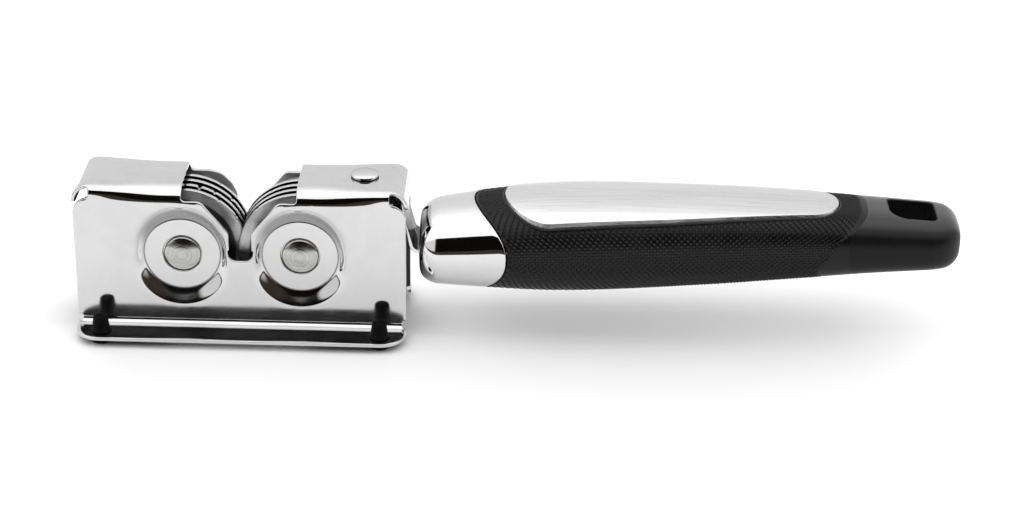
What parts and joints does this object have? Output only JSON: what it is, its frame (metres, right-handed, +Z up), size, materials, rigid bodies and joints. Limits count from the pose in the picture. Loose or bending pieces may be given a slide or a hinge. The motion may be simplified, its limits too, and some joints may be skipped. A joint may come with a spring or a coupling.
{
  "type": "knife sharpener",
  "caption": "Roller knife sharpener with a folded chrome head on rubber feet, interleaved steel discs and a black soft-grip handle with a brushed inlay.",
  "frame": {"origin": "middle of the overall box at the floor under the feet", "axes": "+X along the handle away from the head, -Y towards the front plate, +Z up"},
  "size_m": [0.2124, 0.0378, 0.0399],
  "materials": {
    "chrome_sheet": "polished",
    "strap_steel": "satin",
    "axle_steel": "satin",
    "disc_steel": "satin",
    "brushed_inlay": "satin",
    "soft_grip": "matte",
    "hard_core": "satin",
    "foot_rubber": "matte"
  },
  "bodies": {
    "head": {"housing": "chrome_sheet", "left_axle": "axle_steel", "right_axle": "axle_steel", "left_spacer_1": "axle_steel", "left_spacer_2": "axle_steel", "left_spacer_3": "axle_steel", "right_spacer_1": "axle_steel", "right_spacer_2": "axle_steel", "right_spacer_3": "axle_steel", "left_front_collar": "axle_steel", "left_back_collar": "axle_steel", "right_front_collar": "axle_steel", "right_back_collar": "axle_steel", "tang_strap": "strap_steel", "strap_rivet": "chrome_sheet", "foot_front_left": "foot_rubber", "foot_front_right": "foot_rubber", "foot_back_left": "foot_rubber", "foot_back_right": "foot_rubber", "ferrule": "chrome_sheet", "handle_core": "hard_core", "grip_sleeve": "soft_grip", "inlay_plate": "brushed_inlay"},
    "left_disc_1_body": {"left_disc_1": "disc_steel"},
    "left_disc_2_body": {"left_disc_2": "disc_steel"},
    "left_disc_3_body": {"left_disc_3": "disc_steel"},
    "left_disc_4_body": {"left_disc_4": "disc_steel"},
    "right_disc_1_body": {"right_disc_1": "disc_steel"},
    "right_disc_2_body": {"right_disc_2": "disc_steel"},
    "right_disc_3_body": {"right_disc_3": "disc_steel"},
    "right_disc_4_body": {"right_disc_4": "disc_steel"}
  },
  "joints": [
    {"name": "left_disc_1_spin", "type": "hinge", "parent": "head", "child": "left_disc_1_body", "pos_m": [-0.0806, 0, 0.02015], "axis": [0, 1, 0], "continuous": true},
    {"name": "left_disc_2_spin", "type": "hinge", "parent": "head", "child": "left_disc_2_body", "pos_m": [-0.0806, 0, 0.02015], "axis": [0, 1, 0], "continuous": true},
    {"name": "left_disc_3_spin", "type": "hinge", "parent": "head", "child": "left_disc_3_body", "pos_m": [-0.0806, 0, 0.02015], "axis": [0, 1, 0], "continuous": true},
    {"name": "left_disc_4_spin", "type": "hinge", "parent": "head", "child": "left_disc_4_body", "pos_m": [-0.0806, 0, 0.02015], "axis": [0, 1, 0], "continuous": true},
    {"name": "right_disc_1_spin", "type": "hinge", "parent": "head", "child": "right_disc_1_body", "pos_m": [-0.0522, 0, 0.02015], "axis": [0, 1, 0], "continuous": true},
    {"name": "right_disc_2_spin", "type": "hinge", "parent": "head", "child": "right_disc_2_body", "pos_m": [-0.0522, 0, 0.02015], "axis": [0, 1, 0], "continuous": true},
    {"name": "right_disc_3_spin", "type": "hinge", "parent": "head", "child": "right_disc_3_body", "pos_m": [-0.0522, 0, 0.02015], "axis": [0, 1, 0], "continuous": true},
    {"name": "right_disc_4_spin", "type": "hinge", "parent": "head", "child": "right_disc_4_body", "pos_m": [-0.0522, 0, 0.02015], "axis": [0, 1, 0], "continuous": true}
  ]
}
